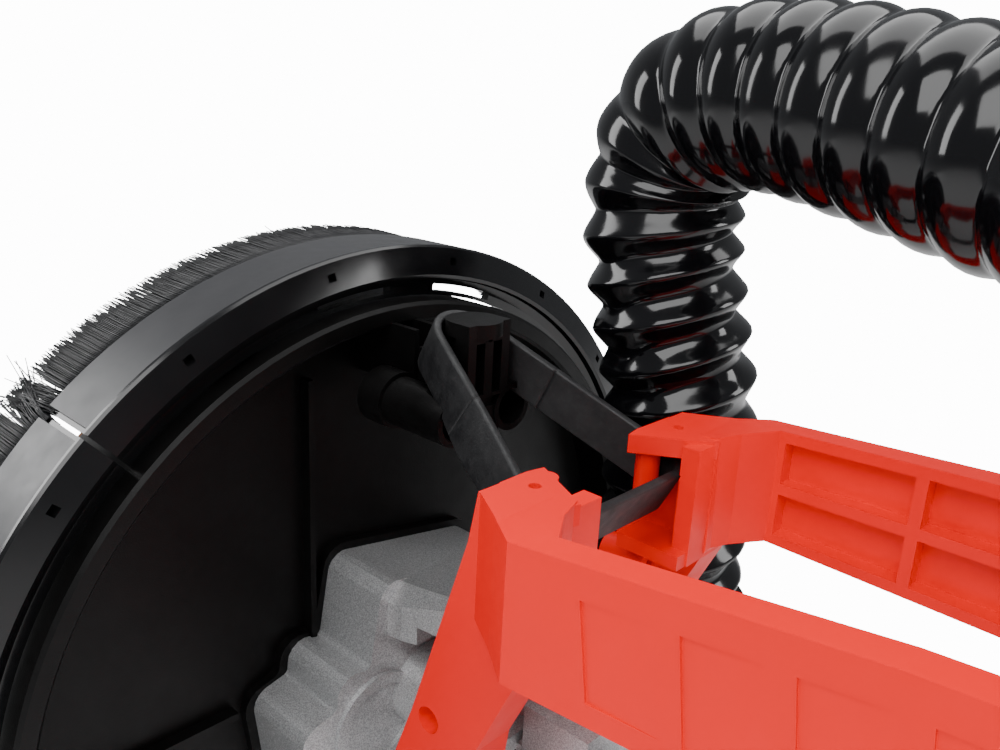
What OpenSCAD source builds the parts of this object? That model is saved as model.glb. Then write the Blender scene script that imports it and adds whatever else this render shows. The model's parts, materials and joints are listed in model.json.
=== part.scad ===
// Long-reach drywall sander: sanding head on a gimbal, on a fork and a pole with the motor at its rear.
// The origin is the centre of the pad's working face. +X runs back along the pole, +Z is up.

/* [Pad] */
// Diameter of the sanding pad
pad_d = 225; // [180:1:235]
// Thickness of the pad's foam
foam_t = 10; // [6:0.5:12]
// Thickness of the backing plate
backing_t = 5; // [3:0.5:6]

/* [Shroud] */
// Radial gap between the pad and the shroud's skirt
skirt_gap = 3.6; // [2:0.1:6]
// Wall of the shroud
shroud_wall = 3; // [2:0.1:4]
// Width of the shroud's flat rear rim
rim_w = 5.9; // [4:0.1:8]
// Back of the shroud's rim from the pad's working face
shroud_back = 48; // [44:1:56]
// Depth of the shroud's pan from its rim to its floor
pan_depth = 15; // [10:1:18]

/* [Brush ring] */
// Radial space between the shroud and the outside of the brush strip
ring_space = 15.9; // [14:0.1:20]
// Width of the strip that holds the bristles
strip_w = 20.5; // [16:0.5:24]
// How far the bristles reach past the pad's working face
bristle_reach = 2; // [0:0.5:4]
// Angle that the removable segment of the ring covers
segment_angle = 60; // [40:1:80]
// Travel of the floating ring on its springs
ring_float = 5; // [3:0.5:6]

/* [Gears] */
// Module of both gear stages
gear_module = 1; // [0.8:0.05:1.05]
// Teeth of the two small gears
pinion_teeth = 12; // [11:1:13]
// Teeth of the two large gears
wheel_teeth = 26; // [22:1:27]
// Play taken off each tooth's thickness
backlash = 0.16; // [0.1:0.01:0.25]

/* [Gimbal and fork] */
// Distance from the working face to the gimbal's two axes
pivot_x = 103; // [100:1:112]
// Distance between the inner faces of the fork's legs
leg_gap = 56; // [52:1:64]
// Thickness of a fork leg
leg_t = 12; // [9:0.5:14]
// Height of the fork's tips over the pad's centre
tip_z = 97; // [92:1:104]
// Running clearance of the pins in their bores
pin_play = 0.05; // [0.02:0.01:0.08]

/* [Pole] */
// Outside diameter of the pole
pole_d = 32; // [26:1:36]
// Wall of the pole
pole_wall = 1.8; // [1.2:0.1:3]
// Length of the pole
pole_l = 500; // [400:1:900]
// Height of the pole's axis over the pad's centre
pole_z = 89; // [86:1:92]

/* [Rear housing] */
// Outside diameter of the motor barrel
barrel_d = 76; // [68:1:90]
// Length of the motor barrel
barrel_l = 130; // [110:1:180]
// Outside diameter of the rear grip
grip_d = 40; // [36:1:46]
// Length of the rear grip
grip_l = 125; // [105:1:160]
// Wall of the housing
housing_wall = 2.5; // [2:0.1:3.5]

/* [Dust hose] */
// Outside diameter of the dust hose
hose_d = 47; // [42:1:47]

/* [Hidden] */
$fn = 96;

// colours
coral_red = [0.90, 0.20, 0.13];
matte_black = [0.07, 0.07, 0.08];
gloss_black = [0.03, 0.03, 0.03];
cast_grey = [0.62, 0.63, 0.64];
steel = [0.75, 0.76, 0.78];
rubber_grey = [0.14, 0.14, 0.15];
copper = [0.72, 0.43, 0.25];

// clearances
fit_play = 0.3;      // between moving pieces that don't run on each other
gear_face_gap = 1;   // axial gap beside a gear

// pad stack, from the working face back
abrasive_t = 1.5;
pad_r = pad_d / 2;
foam_x = abrasive_t;
backing_x = foam_x + foam_t;
hub_x = backing_x + backing_t;
hub_r = 18;
hub_l = 5;

// shroud
skirt_r = pad_r + skirt_gap;
shroud_r = skirt_r + shroud_wall;
rim_inner_r = shroud_r - rim_w;
floor_x = shroud_back - pan_depth;
floor_t = 3;
skirt_x = 13;
floor_rib_y = -25;
rib_reach = rim_inner_r - 15.2;

// brush ring
ring_r = shroud_r + ring_space;
strip_t = 1.5;
strip_back = 41;
strip_x = strip_back - strip_w;
ring_wall = 2.5;
ring_inner_r = shroud_r + 0.6;
ring_face_x = strip_back + 4;
flange_back = strip_back;
flange_t = 3;
seam_angle = 42.6;   // from the top towards -Y, the upper end of the removable segment
seam_gap = 0.5;      // degrees
clip_pitch = 20;
guide_r = shroud_r + 6.2;
guide_pin_r = 2;
spring_r = 3.4;
lug_count = 3;
lug_t = 5.5;
lug_x = strip_back - flange_t - lug_t - 0.5;
guide_reach = 22;    // how far a guide pin reaches in front of its lug
lug_turn = 24;

// gearbox
box_x = floor_x;
box_back = box_x + 28;
base_t = 6;
box_wall = 4;
nose_r = 20;
nose_x = hub_x + hub_l + 1.5;
gear_centre = gear_module * (pinion_teeth + wheel_teeth) / 2;
gear_angle = 195;    // direction of the countershaft from the output shaft
counter_y = gear_centre * cos(gear_angle);
counter_z = gear_centre * sin(gear_angle);
stage_one_x = box_x + base_t + 8.5;
stage_two_x = box_x + base_t;
gear_w = 6;
pressure_angle = 25;
shaft_r = 6;
counter_shaft_r = 3.5;
input_shaft_r = 4;
input_bearing_r = 11;
neck_r = 13.5;
neck_back = box_back + 15;
sleeve_r = 8;
core_r = 3.2;

// gimbal
pin_r = 4;
yaw_z = 31;          // underside of the head's upper arm at the yaw pin
washer_t = 6;
frame_y = leg_gap / 2 - 1;
frame_z = yaw_z - washer_t - 0.3;
frame_half_x = 8;
arm_tip_r = 11;

// fork outline: half-width, top and bottom at stations along the pole
outer_line = [[119, 40], [129, 46], [139, 53], [201, 48], [296, 40], [350, 40]];
inner_line = [[136, 28], [139, 36], [145, 45], [201, 40], [296, 31], [350, 31]];
top_line = [[116, tip_z], [131, tip_z], [210, 103.5], [350, 106]];
bottom_line = [[119, 66], [137, 66], [350, 72]];
arm_end = 350;
block_x = 300;
arm_skin = 2.6;
arm_flange = 3;
cell_pitch = 37;
cell_start = 147;
leg_outer = leg_gap / 2 + leg_t;
leg_boss_r = 14;

// pole and rear housing
pole_r = pole_d / 2;
pole_x = block_x + 6;
pole_end = pole_x + pole_l;
barrel_r = barrel_d / 2;
grip_r = grip_d / 2;
collar_x = pole_end - 40;
barrel_x = pole_end - 15;
barrel_end = barrel_x + barrel_l;
cone_l = 22;
grip_x = barrel_end + cone_l;
housing_end = grip_x + grip_l;
foot_h = 16;
foot_half = 46;
stator_r = barrel_r - housing_wall - 0.05;
rotor_r = 17;
rotor_shaft_r = 4;
motor_x = barrel_x + 32;
motor_l = 48;
brush_x = motor_x + motor_l + 11;
cap_r = 5;

// strap: one loop round the hook's neck and the posts in the fork's tips
strap_w = 14;
strap_t = 2.4;
strap_z = 83.5;
strap_room = 0.5;
hook_x = 76;
hook_half = 7.8;
hook_seat_x = 59;    // where the hook stands on the pan's two sleeves
boss_y = 10.6;
boss_z = rim_inner_r - 18.2;
boss_l = 9;
hook_z = boss_z + 10;
tip_post_x = 124;
tip_post_y = 21;
strap_run = tip_post_x - hook_x + 3.7;
strap_rise = hook_z + 4.8 - strap_z;
strap_fall = atan2(strap_rise, strap_run);
strap_reach = norm([strap_run, strap_rise]);

// dust hose, from the head's elbow over the fork and along the pole
hose_r = hose_d / 2;
hose_points = [
    [103, 68, 10], [103, 68, 32], [103, 67, 52], [103, 66, 72], [102, 65, 92], [98, 63, 118], [95, 61, 140],
    [97, 60, 157], [105, 57, 171], [120, 52, 179], [142, 46, 181], [188, 33, 175], [240, 21, 165],
    [300, 10, 157], [370, 2, 152], [440, 0, 152], [600, 0, 152], [700, 0, 152], [760, 0, 152]
];
hose_line_z = 152;
clip_stations = [460, pole_end - 116];   // front faces of the two clips
clip_l = 14;

// helpers: along_x() stands a flat outline drawn in Y and Z up along +X
module along_x(x, length) {
    translate([x, 0, 0]) rotate([90, 0, 90]) linear_extrude(length) children();
}
module tube_x(x, length, outer, inner) {
    along_x(x, length) difference() {
        circle(outer);
        circle(inner);
    }
}
module rod_x(x, length, r) {
    along_x(x, length) circle(r);
}
module at(y, z) {
    translate([0, y, z]) children();
}
module pole_axis() {
    translate([0, 0, pole_z]) children();
}
// turns an outline drawn as [radius, x] round the X axis
module turned() {
    rotate([0, 90, 0]) rotate_extrude($fn = 180) children();
}
// outline of a sector in Y and Z, from the top towards -Y
module sector(a0, a1, r) {
    steps = 8;
    polygon(concat([[0, 0]], [for (i = [0:steps])
        let (a = a0 + (a1 - a0) * i / steps) [-r * sin(a), r * cos(a)]]));
}

// involute gear outline
function involute(rb, t) = [rb * (cos(t) + t * PI / 180 * sin(t)), rb * (sin(t) - t * PI / 180 * cos(t))];
function turn(p, a) = [p[0] * cos(a) - p[1] * sin(a), p[0] * sin(a) + p[1] * cos(a)];
function flip(p) = [p[0], -p[1]];
function roll_angle(rb, r) = sqrt(max(0, pow(r / rb, 2) - 1)) * 180 / PI;
module gear_outline(teeth) {
    pitch = gear_module * teeth / 2;
    rb = pitch * cos(pressure_angle);
    tip = pitch + 0.9 * gear_module;
    root = pitch - 1.2 * gear_module;
    half = 90 / teeth - backlash / 2 / pitch * 180 / PI;
    inv = tan(pressure_angle) * 180 / PI - pressure_angle;
    start = roll_angle(rb, max(rb, root));
    end = roll_angle(rb, tip);
    steps = 5;
    flank = [for (i = [0:steps]) turn(involute(rb, start + (end - start) * i / steps), -half - inv)];
    foot = turn([min(root, rb), 0], -half - inv);
    side = concat([foot], flank);
    polygon([for (k = [0:teeth - 1]) let (a = 360 * k / teeth)
        each concat([for (p = side) turn(p, a)],
                    [for (i = [len(side) - 1:-1:0]) turn(flip(side[i]), a)])]);
}

// outline whose corners are given as [y, z, radius] and come back rounded
function unit(v) = v / norm(v);
function corner(a, p, b, r) =
    let (u = unit(a - p), v = unit(b - p),
         half = acos(max(-1, min(1, u * v))) / 2,
         c = p + unit(u + v) * r / sin(half),
         s = p + u * r / tan(half), e = p + v * r / tan(half),
         n = 5)
    r <= 0 ? [p] : [for (i = [0:n])
        let (q = unit((s - c) * (1 - i / n) + (e - c) * (i / n))) c + q * r];
function xy(q) = [q[0], q[1]];
function rounded(q) = [for (i = [0:len(q) - 1]) let (n = len(q))
    each corner(xy(q[(i + n - 1) % n]), xy(q[i]), xy(q[(i + 1) % n]), q[i][2])];

// gearbox outline in Y and Z: a tall upper block with stepped lobes on the countershaft's side
box_corners = [
    [-18, 41, 6], [39, 32, 6], [41, -30, 8], [12, -42, 8], [-42, -34, 8], [-47, 3, 6],
    [-34.5, 6, 2], [-33.5, 17, 6], [-22.5, 14, 2]
];
module box_outline() {
    polygon(rounded(box_corners));
}
module box_lip_outline() {
    polygon(rounded([for (c = box_corners) let (d = unit(xy(c) + [0, 4]))
        [c[0] + 3 * d[0], c[1] + 3 * d[1], c[2] + 1]]));
}
box_screw_places = [[-12, 35], [33, 26], [33, -26], [-36, -26], [-40, -3], [8, -35]];

// ---------- head: shroud ----------
module shroud_profile() {
    polygon([
        [nose_r + 0.5, floor_x - floor_t], [skirt_r, floor_x - floor_t], [skirt_r, skirt_x],
        [shroud_r, skirt_x], [shroud_r, shroud_back - 1], [shroud_r - 1, shroud_back],
        [rim_inner_r + 1, shroud_back], [rim_inner_r, shroud_back - 1], [rim_inner_r, floor_x],
        [nose_r + 0.5, floor_x]
    ]);
}
port_y = 68;
port_z = -22;
port_r = 18;
module spring_lug() {
    translate([lug_x, -6, shroud_r - 2]) cube([lug_t, 12, guide_r - shroud_r + 6]);
}
module shroud_housing() {
    color(matte_black) difference() {
        union() {
            turned() shroud_profile();
            for (i = [0:lug_count - 1]) rotate([lug_turn + 360 * i / lug_count, 0, 0]) spring_lug();
            // lip round the gearbox and straight ribs on the floor
            along_x(floor_x - 1, 4) box_lip_outline();
            translate([floor_x - 1, floor_rib_y - 1, 14]) cube([5, 2, rib_reach - 14]);
            translate([floor_x - 1, floor_rib_y - 1, -rib_reach]) cube([5, 2, rib_reach - 40]);
            translate([floor_x - 1, -rib_reach, -1]) cube([5, rib_reach - 52, 2]);
            // two sleeves for the hook, held off the floor by gussets from the rim
            for (y = [-boss_y, boss_y]) at(y, boss_z) rod_x(hook_seat_x - boss_l, boss_l, 8.2);
            for (y = [-4.2, 4.2]) translate([floor_x - 1, y - 0.9, boss_z + 2])
                cube([hook_seat_x - floor_x, 1.8, rim_inner_r - boss_z - 1]);
        }
        along_x(floor_x, 10) box_outline();
        rod_x(floor_x - 2, 3, nose_r + 0.5);
        at(port_y, port_z) rod_x(floor_x - floor_t - 1, floor_t + 2, port_r);
        for (y = [-boss_y, boss_y]) at(y, boss_z) rod_x(hook_seat_x - boss_l - 1, boss_l + 2, 1.6);
        for (q = box_screw_places) at(q[0], q[1]) rod_x(floor_x - floor_t - 1, floor_t + 2, 2.2);
        for (i = [0:lug_count - 1]) rotate([lug_turn + 360 * i / lug_count, 0, 0])
            at(0, guide_r) rod_x(lug_x - 1, lug_t + 2, guide_pin_r + pin_play);
    }
}

// hook that the strap is looped over, on two sleeves
module strap_hook() {
    back = hook_x + 6;
    color(matte_black) difference() {
        union() {
            // head: flat to the rear and round to the front
            translate([0, 0, hook_z + 11.6]) linear_extrude(4) {
                translate([hook_x, -hook_half]) square([6, 2 * hook_half]);
                translate([hook_x, 0]) circle(hook_half);
            }
            translate([back - 5, -hook_half, boss_z + 5]) cube([5, 2 * hook_half, hook_z + 12 - boss_z - 5]);
            // neck and its shoulders down to the sleeves
            translate([hook_x - 4, -6, boss_z - 2]) cube([8, 12, hook_z + 14 - boss_z]);
            translate([hook_seat_x + 1, -6, boss_z - 6]) cube([back - hook_seat_x - 2, 12, 8]);
            for (y = [-boss_y, boss_y]) at(y, boss_z) rod_x(hook_seat_x, back - 0.4 - hook_seat_x, 7);
            for (y = [-5.2, 3.4]) translate([hook_seat_x + 1, y, boss_z])
                cube([hook_x - hook_seat_x - 3, 1.8, 15]);
        }
        for (y = [-boss_y, boss_y]) at(y, boss_z) {
            rod_x(hook_seat_x + 4, 60, 5.2);
            rod_x(hook_seat_x - 1, 60, 2.1);
        }
        for (y = [-4.8, 1.6]) translate([back - 4, y, boss_z + 6]) cube([5, 3.2, hook_z - boss_z + 4.4]);
        at(0, hook_z + 12.6) rod_x(back - 0.6, 2, 2.2);
        strap_loop(strap_room);
    }
}
module hook_screws() {
    color(steel) for (y = [-boss_y, boss_y]) at(y, boss_z) {
        rod_x(hook_seat_x + 4, 3, 3.6);
        rod_x(hook_seat_x - boss_l + 1, boss_l + 4, 1.6);
    }
}

// ---------- head: gearbox ----------
module gear_cavity() {
    circle(stage_cavity_r);
    translate([counter_y, counter_z]) circle(stage_cavity_r);
}
wheel_tip_r = gear_module * (wheel_teeth / 2 + 0.9);
stage_cavity_r = wheel_tip_r + 1;
cavity_back = box_back - box_wall;
arm_rise = 10;
module yaw_arm_plan() {
    polygon([[box_back - 1, -16], [box_back + 6, -16], [pivot_x, -arm_tip_r], [pivot_x, arm_tip_r],
        [box_back + 6, 16], [box_back - 1, 16]]);
    translate([pivot_x, 0]) circle(arm_tip_r);
}
// rising arm with bevelled upper edges, and its flat boss at the yaw pin
module yaw_arm() {
    difference() {
        union() {
            intersection() {
                translate([box_back - 4, 0, 30.5]) rotate([0, -arm_rise, 0]) along_x(0, 80)
                    polygon([[-16, -8], [16, -8], [16, 3], [11, 8], [-11, 8], [-16, 3]]);
                linear_extrude(60) yaw_arm_plan();
            }
            translate([pivot_x, 0, yaw_z]) cylinder(h = 16, r = arm_tip_r - 1);
        }
        translate([pivot_x, 0, yaw_z - 1]) cylinder(h = 40, r = pin_r + pin_play);
        translate([pivot_x - 30, -30, yaw_z - 20]) cube([60, 60, 20]);
    }
}
module gearbox_housing() {
    color(cast_grey) difference() {
        union() {
            along_x(box_x + base_t, box_back - box_x - base_t) box_outline();
            at(0, 0) rod_x(box_back - 1, neck_back - box_back + 1, neck_r);
            // round boss of the countershaft's bearing
            intersection() {
                at(counter_y - 1, counter_z) tube_x(box_back - 1, 2.6, 16, 12.5);
                along_x(box_back - 1, 4) box_outline();
            }
            yaw_arm();
            mirror([0, 0, 1]) yaw_arm();
        }
        along_x(box_x + base_t - 1, cavity_back - box_x - base_t + 1) gear_cavity();
        rod_x(cavity_back - 1, 60, input_shaft_r + 1);
        rod_x(box_back + 2, 60, input_bearing_r);
        at(counter_y, counter_z) rod_x(cavity_back - 1, 3.2, 6.5);
        for (q = box_screw_places) at(q[0], q[1]) rod_x(box_x, box_back - box_x - 3, 1.6);
    }
}
module gearbox_base() {
    color(cast_grey) difference() {
        union() {
            along_x(box_x, base_t) box_outline();
            rod_x(nose_x, box_x - nose_x + 1, nose_r);
        }
        rod_x(nose_x - 1, 40, shaft_r + 1);
        rod_x(nose_x + 3, 8, 14);
        rod_x(nose_x - 1, 5, 10);
        at(counter_y, counter_z) rod_x(box_x + 2, 10, 6.5);
        for (q = box_screw_places) at(q[0], q[1]) rod_x(box_x - 1, base_t + 2, 1.6);
    }
}
module gearbox_screws() {
    color(steel) for (q = box_screw_places) at(q[0], q[1]) {
        rod_x(floor_x - floor_t - 3, 3, 3.6);
        rod_x(floor_x - floor_t - 1, 19, 1.6);
    }
}
module ring_bearing(x, width, outer, inner) {
    // outer race, inner race and the balls between them
    mid = (outer + inner) / 2;
    race = (outer - inner) * 0.3;
    tube_x(x, width, outer, outer - race);
    tube_x(x, width, inner + race, inner);
    ball = min((outer - inner) * 0.26, width * 0.42);
    count = floor(2 * PI * mid / (ball * 2.6));
    for (i = [0:count - 1]) rotate([360 * i / count, 0, 0]) translate([x + width / 2, 0, mid])
        sphere(ball, $fn = 24);
}
module output_bearing() {
    color(steel) ring_bearing(nose_x + 3, 8, 14, shaft_r);
}
module input_bearing() {
    color(steel) ring_bearing(box_back + 2, 7, input_bearing_r, input_shaft_r);
}
module counter_bearings() {
    color(copper) at(counter_y, counter_z) {
        tube_x(box_x + 2, 4, 6.5, counter_shaft_r + pin_play);
        tube_x(cavity_back - 1, 3, 6.5, counter_shaft_r + pin_play);
    }
}
module shaft_seal() {
    color(rubber_grey) tube_x(nose_x, 3, 10, shaft_r + 0.1);
}
// elbow from the port in the pan's floor up to the hose
elbow_r = 19;
elbow_bore = 16.5;
elbow_turn = 26;
hose_start = hose_points[0];
module dust_elbow() {
    elbow_x = hose_start[0] - elbow_turn;
    color(matte_black) difference() {
        union() {
            at(port_y, port_z) rod_x(floor_x, elbow_x - floor_x, elbow_r);
            at(port_y, port_z) rod_x(floor_x, 3, elbow_r + 3);
            translate([elbow_x, port_y, port_z + elbow_turn]) rotate([90, 0, 0]) rotate([0, 0, -90])
                rotate_extrude(angle = 90) translate([elbow_turn, 0]) circle(elbow_r);
            translate([hose_start[0], port_y, hose_start[2] - 6]) cylinder(h = 20, r = hose_r + 2.4);
        }
        translate([hose_start[0], port_y, hose_start[2]]) cylinder(h = 20, r = hose_r + fit_play);
        at(port_y, port_z) rod_x(floor_x - 1, elbow_x - floor_x + 1, elbow_bore);
        translate([elbow_x, port_y, port_z + elbow_turn]) rotate([90, 0, 0]) rotate([0, 0, -90])
            rotate_extrude(angle = 90) translate([elbow_turn, 0]) circle(elbow_bore);
        translate([hose_start[0], port_y, port_z + elbow_turn]) cylinder(h = 12, r = elbow_bore);
    }
}
module shaft_nut() {
    color(steel) tube_x(neck_back - 3, 14, 10.9, sleeve_r);
}

// ---------- head: the turning pad ----------
module output_shaft() {
    color(steel) difference() {
        union() {
            rod_x(hub_x + hub_l, stage_two_x + gear_w + 1.2 - hub_x - hub_l, shaft_r);
            rod_x(backing_x, backing_t + hub_l + 1, shaft_r - 1);
        }
        rod_x(hub_x - 7, 12, 2.5);
    }
}
module output_gear() {
    color(steel) difference() {
        along_x(stage_two_x + 1, gear_w) rotate(gear_angle) gear_outline(wheel_teeth);
        rod_x(stage_two_x, gear_w + 2, shaft_r);
    }
}
module backing_plate() {
    color(matte_black) difference() {
        union() {
            rod_x(backing_x, backing_t, pad_r);
            rod_x(hub_x, hub_l, hub_r);
            for (i = [0:7]) rotate([45 * i, 0, 0]) translate([hub_x - 0.5, -1.5, hub_r - 1])
                cube([3, 3, pad_r - hub_r - 6]);
        }
        rod_x(backing_x - 1, 30, shaft_r - 1);
        pad_holes();
    }
}
hole_count = 8;
module pad_holes() {
    for (i = [0:hole_count - 1]) rotate([360 / hole_count * (i + 0.5), 0, 0])
        at(0, pad_r * 0.62) rod_x(-1, backing_x + backing_t + 2, 7);
}
module pad_foam() {
    color([0.2, 0.2, 0.22]) difference() {
        rod_x(foam_x, foam_t, pad_r);
        rod_x(0, 20, 12);
        pad_holes();
    }
}
module abrasive_disc() {
    color([0.55, 0.36, 0.24]) difference() {
        rod_x(0, abrasive_t, pad_r);
        pad_holes();
    }
}
module pad_bolt() {
    color(steel) {
        rod_x(backing_x - 3, 3, 9);
        rod_x(backing_x - 1, 10, 2.5);
    }
}

// ---------- head: gears ----------
module counter_shaft() {
    color(steel) at(counter_y, counter_z) {
        rod_x(box_x + 2.5, cavity_back + 1.5 - box_x - 2.5, counter_shaft_r);
        along_x(stage_two_x + 0.5, gear_w + 1) rotate(gear_angle + 180 + 180 / pinion_teeth)
            gear_outline(pinion_teeth);
    }
}
module counter_gear() {
    color(steel) at(counter_y, counter_z) difference() {
        along_x(stage_one_x, gear_w) rotate(gear_angle + 180) gear_outline(wheel_teeth);
        rod_x(stage_one_x - 1, gear_w + 2, counter_shaft_r);
    }
}
module input_pinion() {
    color(steel) difference() {
        union() {
            rod_x(stage_one_x + gear_w, neck_back + 12 - stage_one_x - gear_w, input_shaft_r);
            along_x(stage_one_x - 0.5, gear_w + 1) rotate(gear_angle + 180 / pinion_teeth)
                gear_outline(pinion_teeth);
        }
        // square drive for the flexible core
        translate([neck_back + 2, -2.2, -2.2]) cube([20, 4.4, 4.4]);
    }
}

// ---------- floating brush ring ----------
module ring_profile() {
    polygon([
        [ring_r - strip_t - ring_wall, strip_x], [ring_r - strip_t, strip_x],
        [ring_r - strip_t, strip_back], [ring_r, strip_back], [ring_r, strip_back + 1],
        [ring_r - 0.6, strip_back + 1.8], [ring_r - 8.5, ring_face_x], [ring_r - 9.6, ring_face_x - 0.6],
        [ring_r - 10, flange_back + 1], [ring_r - 11.5, flange_back + 0.4], [ring_r - 12.5, flange_back],
        [ring_inner_r, flange_back], [ring_inner_r, flange_back - flange_t],
        [ring_r - 12.5, flange_back - flange_t], [ring_r - strip_t - ring_wall, flange_back - flange_t + 0.5]
    ]);
}
seg_lo = seam_angle;
seg_hi = seam_angle + segment_angle;
clip_r = ring_r - 4.5;
module clip_windows() {
    for (i = [0:360 / clip_pitch - 1]) rotate([clip_pitch * (i + 0.5), 0, 0])
        translate([ring_face_x - 3.6, -1.3, clip_r - 1.1]) cube([6, 2.6, 2.2]);
}
module flange_slots() {
    for (a = [-14, 6, 170, 190, 230]) rotate([a, 0, 0])
        along_x(flange_back - flange_t - 1, flange_t + 2) difference() {
            sector(-6, 6, ring_inner_r + 3.4);
            circle(ring_inner_r + 1.2);
        }
}
module full_ring() {
    difference() {
        turned() ring_profile();
        clip_windows();
        flange_slots();
    }
}
// the part of the ring between two angles
module arc_only(a0, a1, x0, x1) {
    intersection() {
        children();
        along_x(x0, x1 - x0) sector(a0, a1, 2 * ring_r);
    }
}
module arc_removed(a0, a1, x0, x1) {
    difference() {
        children();
        along_x(x0, x1 - x0) sector(a0, a1, 2 * ring_r);
    }
}
module brush_ring() {
    color(gloss_black) arc_removed(seg_lo - seam_gap / 2, seg_hi + seam_gap / 2, -10, 60) full_ring();
}
module ring_segment() {
    color(gloss_black) arc_only(seg_lo + seam_gap / 2, seg_hi - seam_gap / 2, -10, 60) full_ring();
}
strip_gap = 1.6;     // degrees
module full_strip() {
    tube_x(strip_x, strip_w, ring_r, ring_r - strip_t + 0.01);
}
module brush_strip() {
    color([0.16, 0.16, 0.17])
        arc_removed(seg_lo - strip_gap / 2, seg_hi + strip_gap / 2, -10, 60) full_strip();
}
module segment_strip() {
    color([0.16, 0.16, 0.17])
        arc_only(seg_lo + strip_gap / 2, seg_hi - strip_gap / 2, -10, 60) full_strip();
}
module full_bristles() {
    tube_x(-bristle_reach, strip_x + bristle_reach, ring_r - 0.2, ring_r - 3.4);
}
module bristles() {
    color([0.1, 0.1, 0.11])
        arc_removed(seg_lo - strip_gap / 2, seg_hi + strip_gap / 2, -10, 60) full_bristles();
}
module segment_bristles() {
    color([0.1, 0.1, 0.11])
        arc_only(seg_lo + strip_gap / 2, seg_hi - strip_gap / 2, -10, 60) full_bristles();
}
module at_lugs() {
    for (i = [0:lug_count - 1]) rotate([lug_turn + 360 * i / lug_count, 0, 0]) at(0, guide_r) children();
}
module ring_guide_pins() {
    color(steel) at_lugs() {
        rod_x(lug_x - guide_reach, flange_back - flange_t - lug_x + guide_reach, guide_pin_r);
        rod_x(lug_x - guide_reach + 1, 1.6, 4);
    }
}
module ring_springs() {
    color(steel) at_lugs()
        tube_x(lug_x - guide_reach + 2.9, guide_reach - 3.2, spring_r + 0.6, spring_r - 0.8);
}

// ---------- gimbal ----------
module gimbal_frame() {
    color(cast_grey) difference() {
        union() {
            translate([pivot_x - frame_half_x, -frame_y, -16]) cube([2 * frame_half_x, 2 * frame_y, 32]);
            for (s = [0, 1]) mirror([0, 0, s]) {
                // flared boss of the yaw pin
                translate([pivot_x, 0, 15]) cylinder(h = frame_z - 19, r = 8);
                translate([pivot_x, 0, frame_z - 4]) cylinder(h = 4, r = 9.6);
            }
            // guard that closes over the flexible shaft behind the pins
            translate([pivot_x + frame_half_x + 2, -13, 12]) cube([21, 26, 14]);
            translate([pivot_x + frame_half_x - 1, -13, -14]) cube([24, 5, 27]);
            translate([pivot_x + frame_half_x - 1, 8, -14]) cube([24, 5, 27]);
        }
        translate([pivot_x - frame_half_x - 1, -19, -11]) cube([2 * frame_half_x + 1, 38, 22]);
        translate([pivot_x + frame_half_x - 1, -8, -20]) cube([40, 16, 32]);
        translate([pivot_x, 0, -60]) cylinder(h = 120, r = pin_r + 0.02);
        translate([pivot_x, 60, 0]) rotate([90, 0, 0]) cylinder(h = 120, r = pin_r + pin_play);
    }
}
module yaw_pins() {
    color(steel) for (s = [0, 1]) mirror([0, 0, s]) {
        translate([pivot_x, 0, 12]) cylinder(h = yaw_z + 15 - 12, r = pin_r);
    }
}
module yaw_washers() {
    color(rubber_grey) for (s = [0, 1]) mirror([0, 0, s]) translate([pivot_x, 0, frame_z + 0.02]) difference() {
        cylinder(h = washer_t, r = 8.4);
        translate([0, 0, -1]) cylinder(h = 20, r = pin_r + 0.02);
    }
}
module pitch_pins() {
    color(steel) for (s = [0, 1]) mirror([0, s, 0]) translate([pivot_x, 0, 0]) rotate([-90, 0, 0]) {
        translate([0, 0, 20]) cylinder(h = leg_outer - 20 - 1, r = pin_r);
        translate([0, 0, leg_outer - 4]) cylinder(h = 3, r = 7.5);
    }
}
module pitch_washers() {
    color(rubber_grey) for (s = [0, 1]) mirror([0, s, 0]) translate([pivot_x, frame_y + 0.25, 0])
        rotate([-90, 0, 0]) difference() {
            cylinder(h = 0.7, r = 9);
            translate([0, 0, -1]) cylinder(h = 5, r = pin_r + 0.02);
        }
}

// ---------- fork ----------
function outer_y(x) = lookup(x, outer_line);
function inner_y(x) = lookup(x, inner_line);
function top_z(x) = lookup(x, top_line);
function bottom_z(x) = lookup(x, bottom_line);
module in_side_view(y0, y1) {
    translate([0, y1, 0]) rotate([90, 0, 0]) linear_extrude(y1 - y0) children();
}
module arm_plan() {
    polygon(concat(outer_line, [for (i = [len(inner_line) - 1:-1:0]) inner_line[i]], [[119, 28]]));
}
module arm_side() {
    polygon(concat([for (p = top_line) p], [for (i = [len(bottom_line) - 1:-1:0]) bottom_line[i]]));
}
module arm_body() {
    intersection() {
        translate([0, 0, 50]) linear_extrude(70) arm_plan();
        in_side_view(0, 80) arm_side();
    }
}
// one ribbed cell of the arm's inner side, between two stations and two heights given as shares
module arm_cell(x0, x1, low, high) {
    intersection() {
        translate([0, 0, 50]) linear_extrude(70) polygon([
            [x0, inner_y(x0) - 1], [x1, inner_y(x1) - 1],
            [x1, outer_y(x1) - arm_skin], [x0, outer_y(x0) - arm_skin]
        ]);
        in_side_view(0, 80) polygon([for (q = [[x0, low], [x1, low], [x1, high], [x0, high]])
            [q[0], q[1] == 0 ? bottom_z(q[0]) + arm_flange
                 : q[1] == 1 ? top_z(q[0]) - arm_flange
                 : (bottom_z(q[0]) + top_z(q[0])) / 2 + q[1] * 3]]);
    }
}
module arm_cells() {
    for (x = [cell_start:cell_pitch:290]) {
        x1 = min(x + cell_pitch - 3, block_x - 6);
        if (x1 - x > 8) {
            arm_cell(x, x1, 0, -0.5);
            arm_cell(x, x1, 0.5, 1);
        }
    }
}
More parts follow.
